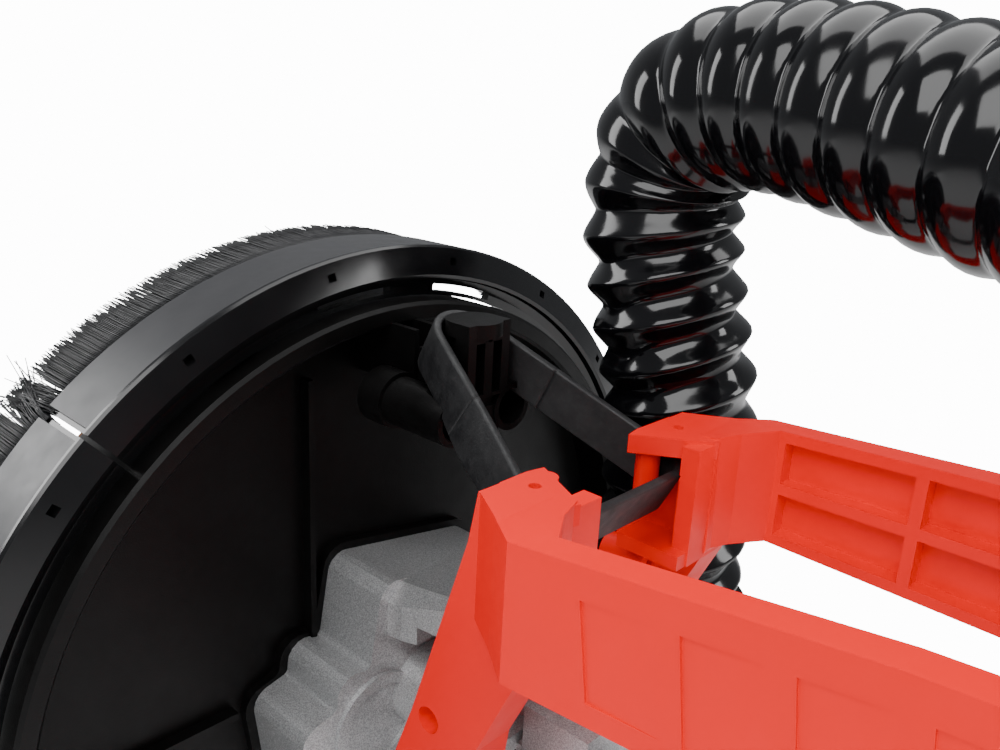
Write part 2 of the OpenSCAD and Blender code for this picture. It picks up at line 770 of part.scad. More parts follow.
// shallow panels on the arm's outer face, each a ramp with a step at its front
module arm_panels() {
    for (i = [0:8]) let (x = 156 + 20 * i, w = 15)
        intersection() {
            translate([0, 0, 50]) linear_extrude(70) polygon([
                [x - 2, outer_y(x - 2) - 0.7], [x + w + 4, outer_y(x + w + 4) - 0.03],
                [x + w + 4, outer_y(x + w + 4) + 3], [x - 2, outer_y(x - 2) + 3]
            ]);
            in_side_view(0, 80) polygon([
                [x + 3, bottom_z(x) + 5], [x + w + 3, bottom_z(x + w) + 5],
                [x + w, top_z(x + w) - 7], [x, top_z(x) - 7]
            ]);
        }
}
module leg_side() {
    polygon([[118.5, tip_z], [136.5, tip_z], [137, 66], [121, 31], [pivot_x + leg_boss_r, 2],
        [pivot_x + leg_boss_r, 0], [pivot_x - leg_boss_r, 0], [pivot_x - leg_boss_r, 4], [99, 31], [116, 84]]);
    translate([pivot_x, 0]) circle(leg_boss_r);
}
// one cheek of the fork; lip is how near to the middle plane its top plate reaches
module fork_side(lip) {
    difference() {
        union() {
            in_side_view(leg_gap / 2, leg_outer) leg_side();
            arm_body();
            // top plate, post, shelf and back bar that hold the strap
            translate([0, 0, tip_z - 5]) linear_extrude(5) polygon([
                [119, lip], [118, lip + 5], [118.2, leg_outer - 7], [122, leg_outer], [134, leg_outer],
                [137, leg_gap / 2], [131, min(lip + 8, 25)]
            ]);
            translate([tip_post_x - 3, tip_post_y, 77]) rotate([0, 0, 100]) cylinder(h = tip_z - 78, r = 3.2);
            translate([117, tip_post_y - 5, 64]) cube([19, leg_outer - tip_post_y, 4]);
            translate([131.5, 20, 64]) cube([5, leg_outer - 24, tip_z - 65]);
            // screw boss on the leg's inner side
            translate([0, leg_gap / 2 - 2.5, 57]) rod_x(108, 14, 4.4);
        }
        arm_cells();
        arm_panels();
        strap_loop(strap_room);
        translate([pivot_x, 0, 0]) rotate([-90, 0, 0]) cylinder(h = 80, r = pin_r + 0.02);
        translate([pivot_x, leg_outer - 4.2, 0]) rotate([-90, 0, 0]) cylinder(h = 10, r = 7.6);
        translate([124.5, 28.5, tip_z - 9]) cylinder(h = 20, r = 1.5);
        translate([105, leg_outer - 6, 31]) rotate([-90, 0, 0]) cylinder(h = 20, r = 3.5);
        translate([105, 0, 31]) rotate([-90, 0, 0]) cylinder(h = 60, r = 1.6);
        translate([0, leg_gap / 2 - 2.5, 57]) rod_x(112, 20, 1.6);
        for (q = fork_screw_places) translate([q[0], 0, q[1]]) rotate([-90, 0, 0]) cylinder(h = 80, r = 2.2);
    }
}
fork_screw_places = [[312, 80], [312, 98], [338, 80], [338, 98]];
module fork_right() {
    color(coral_red) fork_side(14);
}
module fork_left() {
    color(coral_red) mirror([0, 1, 0]) fork_side(19);
}
module pole_block() {
    color(coral_red) difference() {
        translate([block_x, -31, 73]) cube([arm_end - block_x, 62, 32]);
        pole_axis() {
            rod_x(block_x + 6, 100, pole_r + 0.02);
            rod_x(block_x - 1, 20, sleeve_r + 0.4);
        }
        for (q = fork_screw_places) translate([q[0], -40, q[1]]) rotate([-90, 0, 0]) cylinder(h = 80, r = 1.6);
    }
}
module fork_screws() {
    color(steel) for (q = fork_screw_places) for (s = [0, 1]) mirror([0, s, 0])
        translate([q[0], 0, q[1]]) rotate([-90, 0, 0]) {
            translate([0, 0, 18.5]) cylinder(h = 23, r = 1.6);
            translate([0, 0, 40]) cylinder(h = 2.6, r = 3.6);
        }
}
// plan outline of the strap's loop, grown by g
module loop_plan(g) {
    hull() {
        translate([-strap_reach, 0]) circle(hook_half + 0.8 + g, $fn = 32);
        for (s = [-1, 1]) translate([-2.5, s * tip_post_y]) circle(4.6 + g, $fn = 32);
    }
}
module strap_loop(g) {
    translate([tip_post_x, 0, strap_z]) rotate([0, strap_fall, 0])
        translate([0, 0, -strap_w / 2 - g]) linear_extrude(strap_w + 2 * g) difference() {
            loop_plan(strap_t + g);
            loop_plan(-g);
        }
}
module rubber_strap() {
    color(rubber_grey) strap_loop(0);
}

// ---------- flexible shaft and hose ----------
function cross_y(t) = unit(cross(t, [0, 1, 0]));
function tangent(p, i) = unit(p[min(i + 1, len(p) - 1)] - p[max(i - 1, 0)]);
function ring_at(p, i, r, sides) = let (t = tangent(p, i), u = cross_y(t), v = cross(t, u))
    [for (k = [0:sides - 1]) p[i] + r * (u * cos(360 * k / sides) + v * sin(360 * k / sides))];
module swept(p, r, sides) {
    n = len(p);
    rings = [for (i = [0:n - 1]) each ring_at(p, i, r, sides)];
    walls = [for (i = [0:n - 2]) for (k = [0:sides - 1]) let (m = (k + 1) % sides)
        each [[i * sides + k, (i + 1) * sides + k, (i + 1) * sides + m],
              [i * sides + k, (i + 1) * sides + m, i * sides + m]]];
    polyhedron(rings, concat(walls, [[for (k = [0:sides - 1]) k]],
        [[for (k = [sides - 1:-1:0]) (n - 1) * sides + k]]), convexity = 6);
}
flex_points = [
    [89, 0, 0], [103, 0, 0], [122, 0, 0.5], [142, 0, 5], [165, 0, 15], [190, 0, 31], [215, 0, 49],
    [240, 0, 66], [264, 0, 79], [285, 0, 86.5], [302, 0, pole_z]
];
module flex_sleeve() {
    color(matte_black) difference() {
        swept(concat(flex_points, [[320, 0, pole_z]]), sleeve_r - 0.3, 12);
        swept(concat([[88, 0, 0]], flex_points, [[321, 0, pole_z]]), core_r + 0.4, 12);
    }
}
module flex_core() {
    color(steel) union() {
        swept(concat(flex_points, [[330, 0, pole_z]]), core_r, 8);
        pole_axis() rod_x(330, pole_end + 3 - 330, core_r);
    }
}
module dust_hose() {
    color(gloss_black) swept(hose_points, hose_r, 12);
}
module hose_clips() {
    color(matte_black) for (x = clip_stations) difference() {
        union() {
            pole_axis() rod_x(x, clip_l, pole_r + 3);
            at(0, hose_line_z) rod_x(x, clip_l, hose_r + 3.2);
            translate([x, -6, pole_z + pole_r - 1]) cube([clip_l, 12, hose_line_z - hose_r - pole_z - pole_r]);
        }
        pole_axis() rod_x(x - 1, clip_l + 2, pole_r + 0.02);
        at(0, hose_line_z) rod_x(x - 1, clip_l + 2, hose_r + fit_play);
        // mouth that the hose is pushed in through
        translate([x - 1, -13, hose_line_z + hose_r - 8]) cube([clip_l + 2, 26, 20]);
    }
}
pipe_r = 20;
pipe_bore = 17.5;
hose_end = hose_points[len(hose_points) - 1][0];
pipe_x = hose_end + 4;
cuff_x = hose_end - 12;
cuff_l = 41;
cuff_ribs = 12;
pipe_end = barrel_end + 85;
module hose_cuff() {
    color(matte_black) at(0, hose_line_z) difference() {
        union() {
            rod_x(cuff_x, cuff_l, hose_r + 2.6);
            for (i = [0:cuff_ribs - 1]) rotate([360 / cuff_ribs * i, 0, 0])
                translate([cuff_x + 4, -1.5, hose_r + 1]) cube([cuff_l - 9, 3, 3]);
        }
        rod_x(cuff_x - 1, hose_end - cuff_x + 2, hose_r + fit_play);
        rod_x(cuff_x - 1, cuff_l + 2, pipe_r + 0.02);
    }
}
module dust_pipe() {
    color(matte_black) difference() {
        union() {
            at(0, hose_line_z) {
                rod_x(pipe_x, pipe_end - pipe_x, pipe_r);
                rod_x(pipe_end - 12, 12, pipe_r + 2);
            }
            for (x = saddle_stations) translate([x, -saddle_w / 2, pad_top_z])
                cube([saddle_w, saddle_w, hose_line_z - 8 - pad_top_z]);
        }
        at(0, hose_line_z) rod_x(pipe_x - 1, pipe_end - pipe_x + 2, pipe_bore);
    }
}
pad_top_z = pole_z + barrel_r + 2.5;
saddle_w = 16;
saddle_stations = [barrel_x + 22, barrel_end - 28];

// ---------- pole and rear housing ----------
module pole_tube() {
    color([0.78, 0.79, 0.8]) pole_axis() tube_x(pole_x, pole_l, pole_r, pole_r - pole_wall);
}
front_grip_x = 525;
front_grip_l = 130;
module pole_grip() {
    color(rubber_grey) pole_axis() difference() {
        union() {
            rod_x(front_grip_x, front_grip_l, pole_r + 3);
            for (x = [0, front_grip_l - 6]) rod_x(front_grip_x + x, 6, pole_r + 5);
            for (x = [12:8:front_grip_l - 14]) rod_x(front_grip_x + x, 4, pole_r + 3.8);
        }
        rod_x(front_grip_x - 5, front_grip_l + 10, pole_r + 0.02);
    }
}
module housing_outer() {
    polygon([[0, collar_x], [pole_r + 5, collar_x], [pole_r + 6, collar_x + 10], [barrel_r - 2, barrel_x - 3],
        [barrel_r, barrel_x], [barrel_r, barrel_end], [grip_r, grip_x], [grip_r, housing_end - 14],
        [grip_r + 5, housing_end - 8], [grip_r + 5, housing_end - 1], [grip_r + 3, housing_end], [0, housing_end]]);
}
module housing_inner() {
    w = housing_wall;
    polygon([[0, collar_x - 1], [pole_r + 0.02, collar_x - 1], [pole_r + 0.02, barrel_x + 1],
        [barrel_r - w, barrel_x + 2], [barrel_r - w, barrel_end - 1], [grip_r - w, grip_x - 1],
        [grip_r - w, housing_end - 4], [0, housing_end - 4]]);
}
front_wall_x = pole_end + 4;
rear_wall_x = motor_x + motor_l + 30;
bearing_w = 6;
bearing_outer = 11;
module bulkhead(x) {
    tube_x(x, bearing_w, barrel_r - housing_wall / 2, bearing_outer);
}
trigger_x = grip_x + 18;
trigger_l = 36;
trigger_half = 5;
button_x = trigger_x + trigger_l + 12;
dial_x = housing_end - 36;
dial_r = 11;
dial_z = pole_z + grip_r - dial_r + 2.2;
post_z = barrel_r - housing_wall - 5;
housing_screw_places = [for (x = [barrel_x + 10, barrel_end - 8]) for (z = [post_z, -post_z]) [x, z]];
module housing_shell() {
    difference() {
        union() {
            pole_axis() difference() {
                turned() housing_outer();
                turned() housing_inner();
            }
            pole_axis() {
                bulkhead(front_wall_x);
                bulkhead(rear_wall_x);
            }
            screw_posts(5);
            for (y = [-9, 4]) translate([dial_x - 4, y, dial_z - 4])
                cube([8, 5, grip_r - housing_wall + 2 - dial_z + pole_z]);
            // flats for the dust pipe's saddles, and the foot
            for (x = saddle_stations) translate([x, -saddle_w / 2, pole_z + barrel_r - 2.2])
                cube([saddle_w, saddle_w, pad_top_z - pole_z - barrel_r + 2.2]);
            translate([0, 0, pole_z - barrel_r - foot_h]) difference() {
                along_x(barrel_x + 40, 56) polygon([[-foot_half, 0], [foot_half, 0], [foot_half, 6],
                    [26, foot_h + 14], [-26, foot_h + 14], [-foot_half, 6]]);
                translate([0, 0, barrel_r + foot_h]) rod_x(barrel_x, 200, barrel_r - housing_wall);
            }
        }
        // cooling slots
        for (a = [-50:20:50]) for (s = [0, 1]) mirror([0, s, 0]) pole_axis() rotate([-90 + a, 0, 0])
            translate([rear_wall_x + bearing_w + 2, -1.5, barrel_r - 6]) cube([14, 3, 10]);
        translate([trigger_x, -trigger_half - fit_play, pole_z - grip_r - 2])
            cube([trigger_l, 2 * trigger_half + 2 * fit_play, 8]);
        translate([button_x, -40, pole_z - 6]) rotate([-90, 0, 0]) cylinder(h = 40, r = 4 + fit_play);
        translate([dial_x - dial_r - 1, -3.5, pole_z]) cube([2 * dial_r + 2, 7, 40]);
        translate([dial_x, 0, dial_z]) rotate([90, 0, 0]) cylinder(h = 18, r = 2 + pin_play, center = true);
        pole_axis() rod_x(housing_end - 10, 20, 7.02);
        pole_axis() for (s = [0, 1]) mirror([0, s, 0]) translate([brush_x, 0, 0]) rotate([-90, 0, 0])
            cylinder(h = 60, r = cap_r + 0.02);
    }
}
module half_space(s) {
    translate([collar_x - 10, s > 0 ? 0 : -100, -20]) cube([housing_end - collar_x + 20, 100, 300]);
}
module screw_posts(r) {
    for (q = housing_screw_places) translate([q[0], -14, pole_z + q[1]])
        rotate([-90, 0, 0]) cylinder(h = 28, r = r);
}
module housing_half(s) {
    difference() {
        intersection() {
            housing_shell();
            half_space(s);
        }
        screw_posts(1.6);
        if (s < 0) for (q = housing_screw_places) translate([q[0], -40, pole_z + q[1]])
            rotate([-90, 0, 0]) cylinder(h = 28, r = 3.6);
    }
}
module housing_right() {
    color(coral_red) housing_half(1);
}
module housing_left() {
    color(coral_red) housing_half(-1);
}
module housing_screws() {
    color(steel) for (q = housing_screw_places) translate([q[0], 0, pole_z + q[1]]) rotate([-90, 0, 0]) {
        translate([0, 0, -13]) cylinder(h = 25, r = 1.6);
        translate([0, 0, -15]) cylinder(h = 3, r = 3.4);
    }
}
module motor_stator() {
    color(copper) pole_axis() difference() {
        rod_x(motor_x, motor_l, stator_r);
        rod_x(motor_x - 1, motor_l + 2, rotor_r + 0.6);
    }
}
module rotor() {
    color(steel) pole_axis() difference() {
        union() {
            rod_x(pole_end - 6, 9.5, 6.5);
            rod_x(pole_end, rear_wall_x + bearing_w - pole_end, rotor_shaft_r);
            rod_x(motor_x, motor_l, rotor_r);
            rod_x(brush_x - 6, 12, 10);
        }
        rod_x(pole_end - 7, 10.5, core_r + fit_play);
    }
}
fan_x = brush_x + 8;
fan_blades = 11;
module cooling_fan() {
    color(matte_black) pole_axis() difference() {
        union() {
            rod_x(fan_x, 1.6, 30);
            rod_x(fan_x, 8.5, 8);
            for (i = [0:fan_blades - 1]) rotate([360 * i / fan_blades, 0, 0])
                translate([fan_x + 0.8, -0.8, 7]) cube([7.2, 1.6, 22]);
        }
        rod_x(fan_x - 1, 12, rotor_shaft_r);
    }
}
module motor_bearings() {
    color(steel) pole_axis() for (x = [front_wall_x, rear_wall_x])
        ring_bearing(x, bearing_w, bearing_outer, rotor_shaft_r);
}
module brush_caps() {
    color(matte_black) pole_axis() for (s = [0, 1]) mirror([0, s, 0])
    translate([brush_x, 0, 0]) rotate([-90, 0, 0]) {
        translate([0, 0, 10 + fit_play]) cylinder(h = 22, r = 3);
        difference() {
            translate([0, 0, 30]) cylinder(h = barrel_r + 0.8 - 30, r = cap_r);
            translate([-4, -0.6, barrel_r]) cube([8, 1.2, 2]);
        }
    }
}
module trigger() {
    low = pole_z - grip_r;
    color(matte_black) {
        translate([trigger_x + fit_play, -trigger_half, low - 6])
            cube([trigger_l - 2 * fit_play, 2 * trigger_half, 13]);
        translate([trigger_x - 3, -trigger_half - 2, low + housing_wall + 1.9])
            cube([trigger_l + 6, 2 * trigger_half + 4, 2.6]);
    }
}
module lock_button() {
    color(matte_black) translate([button_x, 0, pole_z - 6]) rotate([-90, 0, 0])
        translate([0, 0, -grip_r - 2.6]) cylinder(h = 12, r = 4);
}
module speed_dial() {
    color(matte_black) translate([dial_x, 0, dial_z]) rotate([90, 0, 0]) {
        cylinder(h = 6, r = dial_r - 0.7, center = true);
        cylinder(h = 16, r = 2, center = true);
        for (i = [0:23]) rotate(15 * i) translate([dial_r - 1.5, -0.7, -3]) cube([1.5, 1.4, 6]);
    }
}
module control_board() {
    color([0.1, 0.4, 0.2]) {
        translate([grip_x + 12, -13, pole_z + 5]) cube([45, 26, 1.6]);
        for (i = [0:3]) translate([grip_x + 16 + 10 * i, -6, pole_z + 6.5]) cube([7, 12, 4]);
    }
}
module cable_gland() {
    color(matte_black) pole_axis() difference() {
        union() {
            rod_x(housing_end - 6, 8, 7);
            rod_x(housing_end, 4, 10);
            rod_x(housing_end + 3, 10, 6.4);
        }
        rod_x(housing_end - 7, 30, 4);
    }
}

shroud_housing();
strap_hook();
hook_screws();
gearbox_housing();
gearbox_base();
gearbox_screws();
output_bearing();
input_bearing();
counter_bearings();
shaft_seal();
dust_elbow();
shaft_nut();
output_shaft();
output_gear();
backing_plate();
pad_foam();
abrasive_disc();
pad_bolt();
counter_shaft();
counter_gear();
input_pinion();
brush_ring();
brush_strip();
bristles();
ring_guide_pins();
ring_springs();
ring_segment();
segment_strip();
segment_bristles();
gimbal_frame();
yaw_pins();
yaw_washers();
pitch_pins();
pitch_washers();
fork_left();
fork_right();
pole_block();
fork_screws();
rubber_strap();
flex_sleeve();
flex_core();
dust_hose();
hose_clips();
hose_cuff();
pole_tube();
pole_grip();
housing_left();
housing_right();
housing_screws();
motor_stator();
rotor();
cooling_fan();
motor_bearings();
brush_caps();
trigger();
lock_button();
speed_dial();
control_board();
cable_gland();
dust_pipe();
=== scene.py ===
import json
import math
import random

import bpy
import numpy as np
from mathutils import Matrix, Vector


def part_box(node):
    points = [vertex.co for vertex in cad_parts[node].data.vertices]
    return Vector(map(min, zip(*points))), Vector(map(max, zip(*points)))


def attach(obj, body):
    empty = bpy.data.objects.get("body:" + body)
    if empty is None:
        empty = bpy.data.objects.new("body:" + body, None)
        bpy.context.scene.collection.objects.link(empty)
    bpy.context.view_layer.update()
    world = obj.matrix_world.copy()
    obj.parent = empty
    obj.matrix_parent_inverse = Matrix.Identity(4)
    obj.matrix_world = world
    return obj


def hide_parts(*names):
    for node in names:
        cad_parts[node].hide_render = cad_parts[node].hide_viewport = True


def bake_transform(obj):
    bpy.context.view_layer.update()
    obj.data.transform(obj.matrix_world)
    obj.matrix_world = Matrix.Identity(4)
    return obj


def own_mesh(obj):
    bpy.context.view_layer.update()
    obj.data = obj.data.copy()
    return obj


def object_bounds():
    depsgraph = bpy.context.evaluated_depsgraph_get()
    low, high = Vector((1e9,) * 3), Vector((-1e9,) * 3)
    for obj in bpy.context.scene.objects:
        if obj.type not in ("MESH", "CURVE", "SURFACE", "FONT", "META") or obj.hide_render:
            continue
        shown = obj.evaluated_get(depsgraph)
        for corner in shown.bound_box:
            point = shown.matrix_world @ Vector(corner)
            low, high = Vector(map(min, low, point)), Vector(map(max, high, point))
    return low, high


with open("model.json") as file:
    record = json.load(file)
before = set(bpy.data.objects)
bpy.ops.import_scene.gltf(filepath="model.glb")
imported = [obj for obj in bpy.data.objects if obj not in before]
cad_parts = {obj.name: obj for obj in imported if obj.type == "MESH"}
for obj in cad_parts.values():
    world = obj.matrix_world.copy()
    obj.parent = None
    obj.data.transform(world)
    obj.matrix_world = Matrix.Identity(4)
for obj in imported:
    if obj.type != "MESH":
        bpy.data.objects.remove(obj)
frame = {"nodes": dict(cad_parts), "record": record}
cad_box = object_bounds()
nodes = frame["nodes"]
MM = 0.001

# ---------- places that the frame gives ----------
ring_low, ring_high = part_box("brush_strip")
RING_R = ring_high[1]
STRIP_FRONT = ring_low[0]
BRISTLE_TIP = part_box("bristles")[0][0]
floor_z = cad_box[0][2] - 0.0005


# ---------- camera ----------
def make_camera():
    data = bpy.data.cameras.new("camera")
    data.lens = 33.13
    data.sensor_width = 36
    data.clip_start = 0.01
    camera = bpy.data.objects.new("camera", data)
    bpy.context.scene.collection.objects.link(camera)
    back = Vector((0.646, -0.703, 0.298)).normalized()
    right = Vector((0.725, 0.687, 0.049))
    right = (right - right.dot(back) * back).normalized()
    up = back.cross(right)
    camera.matrix_world = Matrix((
        (right.x, up.x, back.x, 0.2433),
        (right.y, up.y, back.y, -0.1709),
        (right.z, up.z, back.z, 0.1798),
        (0, 0, 0, 1),
    ))
    bpy.context.scene.camera = camera


make_camera()


# ---------- mesh helpers ----------
def new_object(name, vertices, faces, smooth=True):
    mesh = bpy.data.meshes.new(name)
    mesh.from_pydata([tuple(v) for v in vertices], [], faces)
    mesh.update()
    if smooth:
        mesh.shade_smooth()
    piece = bpy.data.objects.new(name, mesh)
    bpy.context.scene.collection.objects.link(piece)
    return piece


def smooth_path(points, step):
    """Catmull-Rom curve through the points, resampled every step metres."""
    p = [Vector(q) for q in points]
    p = [2 * p[0] - p[1]] + p + [2 * p[-1] - p[-2]]
    dense = []
    for i in range(1, len(p) - 2):
        a, b, c, d = p[i - 1:i + 3]
        for k in range(24):
            t = k / 24
            dense.append(0.5 * (2 * b + (c - a) * t + (2 * a - 5 * b + 4 * c - d) * t * t
                                + (3 * b - a - 3 * c + d) * t ** 3))
    dense.append(p[-2])
    lengths = [0.0]
    for a, b in zip(dense, dense[1:]):
        lengths.append(lengths[-1] + (b - a).length)
    count = max(2, round(lengths[-1] / step))
    wanted = np.linspace(0, lengths[-1], count + 1)
    axes = [np.interp(wanted, lengths, [v[k] for v in dense]) for k in range(3)]
    return [Vector(v) for v in zip(*axes)]


def path_length(path):
    return sum((b - a).length for a, b in zip(path, path[1:]))


def carried_frames(path, first=Vector((0, 1, 0))):
    """One (side, other) pair of unit vectors at each point, carried along the path without twist."""
    result = []
    side = first
    for i in range(len(path)):
        along = (path[min(i + 1, len(path) - 1)] - path[max(i - 1, 0)]).normalized()
        side = (side - side.dot(along) * along).normalized()
        result.append((side, along.cross(side)))
    return result


def skin_rings(name, rings, closed=False, smooth=True):
    """Skin over rings of points; the two ends get flat caps unless the rings close on themselves."""
    count = len(rings[0])
    vertices = [v for ring in rings for v in ring]
    faces = []
    for i in range(len(rings) if closed else len(rings) - 1):
        a, b = i * count, (i + 1) % len(rings) * count
        for k in range(count):
            m = (k + 1) % count
            faces.append((a + k, a + m, b + m, b + k))
    if not closed:
        faces.append(tuple(reversed(range(count))))
        faces.append(tuple(range((len(rings) - 1) * count, len(rings) * count)))
    piece = new_object(name, vertices, faces, smooth)
    for face in piece.data.polygons:
        if len(face.vertices) > 4:
            face.use_smooth = False
    return piece


def tube_rings(path, frames, radius, sides, start=0.0):
    """Rings round the path; radius is a function of the length along it and the angle round it."""
    rings = []
    along = start
    for i, p in enumerate(path):
        if i:
            along += (p - path[i - 1]).length
        side, other = frames[i]
        ring = []
        for k in range(sides):
            a = 2 * math.pi * k / sides
            ring.append(p + radius(along, a) * (math.cos(a) * side + math.sin(a) * other))
        rings.append(ring)
    return rings


# ---------- dust hose: one route, as two cords that meet above the gimbal ----------------------
HOSE_D = 0.047
HOSE_POINTS = [
    (103, 68, 10), (103, 68, 32), (103, 67, 52), (103, 66, 72), (102, 65, 92), (97, 62, 118), (93, 60, 142),
    (94, 59, 160), (102, 56, 174), (118, 52, 180), (142, 46, 180), (188, 33, 172), (240, 21, 160),
    (300, 10, 153), (370, 2, 152), (440, 0, 152), (600, 0, 152), (700, 0, 152), (760, 0, 152),
]
HOSE_SIDES = 56
HOSE_CUT_X = 0.222     # where the front length ends, above the gimbal
RIB_PITCH = 0.0128
RIB_STEPS = 16
RIB_DEPTH = 0.0020     # on the level run
FOLD_DEPTH = 0.0022    # added on the upright run
WRINKLE = 0.0005
UPRIGHT_END = 0.125    # length along the hose where the folds begin to fade
UPRIGHT_FADE = 0.05


def hose_radius(along, angle):
    """Helical ribs: convex bands with narrow grooves; the upright run is folded deeper and wrinkled."""
    u = along / RIB_PITCH - angle / (2 * math.pi)
    band = 1 - abs(math.cos(math.pi * u))
    fold = (math.sin(math.pi * u) ** 2) ** 0.62
    upright = 1 - min(1, max(0, (along - UPRIGHT_END) / UPRIGHT_FADE))
    pointed = upright * (0.5 - 0.5 * math.cos(angle - 0.9))
    depth = RIB_DEPTH + FOLD_DEPTH * upright
    wrinkle = WRINKLE * upright * math.sin(5 * angle + 70 * along) * math.sin(math.pi * u) ** 2
    return HOSE_D / 2 - depth * (band + (fold - band) * pointed) - wrinkle


def make_hose():
    path = smooth_path([Vector(p) * MM for p in HOSE_POINTS], RIB_PITCH / RIB_STEPS)
    frames = carried_frames(path)
    cut = next(i for i, p in enumerate(path) if p.x > HOSE_CUT_X)
    first = skin_rings(
        "dust_hose_front", tube_rings(path[:cut + 1], frames[:cut + 1], hose_radius, HOSE_SIDES))
    begun = path_length(path[:cut + 1])
    second = skin_rings(
        "dust_hose_rear", tube_rings(path[cut:], frames[cut:], hose_radius, HOSE_SIDES, begun))
    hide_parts("dust_hose")
    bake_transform(first)
    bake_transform(second)
    return first, second


hose_pieces = make_hose()


# ---------- flexible shaft: sleeve and core, each in two lengths ----------
FLEX_POINTS = [
    (89, 0, 0), (103, 0, 0), (122, 0, 0.5), (142, 0, 5), (165, 0, 15), (190, 0, 31), (215, 0, 49),
    (240, 0, 66), (264, 0, 79), (285, 0, 86.5), (302, 0, 89), (320, 0, 89),
]
FLEX_CUT_X = 0.112
FLEX_STEP = 0.001
SLEEVE_R = 0.0076
SLEEVE_GROOVE = 0.0004
SLEEVE_PITCH = 0.005
CORE_R = 0.0031


def make_flex():
    path = smooth_path([Vector(p) * MM for p in FLEX_POINTS], FLEX_STEP)
    frames = carried_frames(path)
    cut = next(i for i, p in enumerate(path) if p.x > FLEX_CUT_X)

    def sleeve_radius(along, angle):
        turn = 2 * math.pi * (along / SLEEVE_PITCH - angle / 2 / math.pi)
        return SLEEVE_R - SLEEVE_GROOVE * (0.5 + 0.5 * math.cos(turn))

    def core_radius(along, angle):
        return CORE_R

    made = []
    for name, radius, sides in (("flex_sleeve", sleeve_radius, 28), ("flex_core", core_radius, 14)):
        front = skin_rings(name + "_front", tube_rings(path[:cut + 1], frames[:cut + 1], radius, sides))
        begun = path_length(path[:cut + 1])
        rear = skin_rings(name + "_rear", tube_rings(path[cut:], frames[cut:], radius, sides, begun))
        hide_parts(name)
        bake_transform(front)
        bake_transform(rear)
        made.append((front, rear))
    return made


flex_pieces = make_flex()


# ---------- rubber strap: a band round the hook and the two tips ----------
STRAP_W = 0.014
STRAP_T = 0.0024
STRAP_FALL = math.radians(27)
STRAP_ORIGIN = Vector((0.124, 0, 0.0835))
STRAP_REACH = 0.058
HOOK_NECK_R = 0.0086
TIP_X = -0.0025
TIP_Y = 0.021
TIP_R = 0.0046
STRAP_CUT_X = 0.090           # the hook's end in front of it, the tips' end behind
SLACK_FROM = -0.054           # the near strand's free stretch, in the strap's own plane
SLACK_TO = -0.008
SLACK_BOW = 0.0004
SLACK_SAG = 0.0004
SLACK_TWIST = math.radians(-10)


def hull(points):
    """Convex hull of flat points, counterclockwise."""
    points = sorted(set(points))

    def half(some):
        chain = []
        for p in some:
            while len(chain) > 1 and (
                (chain[-1][0] - chain[-2][0]) * (p[1] - chain[-2][1])
                - (chain[-1][1] - chain[-2][1]) * (p[0] - chain[-2][0])
            ) <= 0:
                chain.pop()
            chain.append(p)
        return chain[:-1]
    return half(points) + half(points[::-1])


def strap_line():
    """The strap's middle line in its own tilted plane, as evenly spaced points."""
    circles = [(-STRAP_REACH, 0, HOOK_NECK_R), (TIP_X, -TIP_Y, TIP_R), (TIP_X, TIP_Y, TIP_R)]
    ring = []
    for x, y, r in circles:
        for k in range(48):
            a = 2 * math.pi * k / 48
            ring.append((x + (r + STRAP_T / 2) * math.cos(a), y + (r + STRAP_T / 2) * math.sin(a)))
    outline = hull(ring)
    outline = [Vector((x, y)) for x, y in outline]
    start = max(range(len(outline)), key=lambda i: outline[i].x - abs(outline[i].y) * 0.01)
    outline = outline[start:] + outline[:start + 1]
    lengths = [0.0]
    for a, b in zip(outline, outline[1:]):
        lengths.append(lengths[-1] + (b - a).length)
    wanted = np.arange(0, lengths[-1], 0.001)
    xs = np.interp(wanted, lengths, [p.x for p in outline])
    ys = np.interp(wanted, lengths, [p.y for p in outline])
    return [Vector((x, y)) for x, y in zip(xs, ys)]


def band_ring(centre, across, through):
    """Rounded rectangular section of the band."""
    corner = 0.0007
    ring = []
    for sx, sy, a0 in ((1, 1, 0), (-1, 1, 90), (-1, -1, 180), (1, -1, 270)):
        cx = sx * (STRAP_W / 2 - corner)
        cy = sy * (STRAP_T / 2 - corner)
        for k in range(4):
            a = math.radians(a0 + 30 * k)
            ring.append(centre + across * (cx + corner * math.cos(a))
                        + through * (cy + corner * math.sin(a)))
    return ring


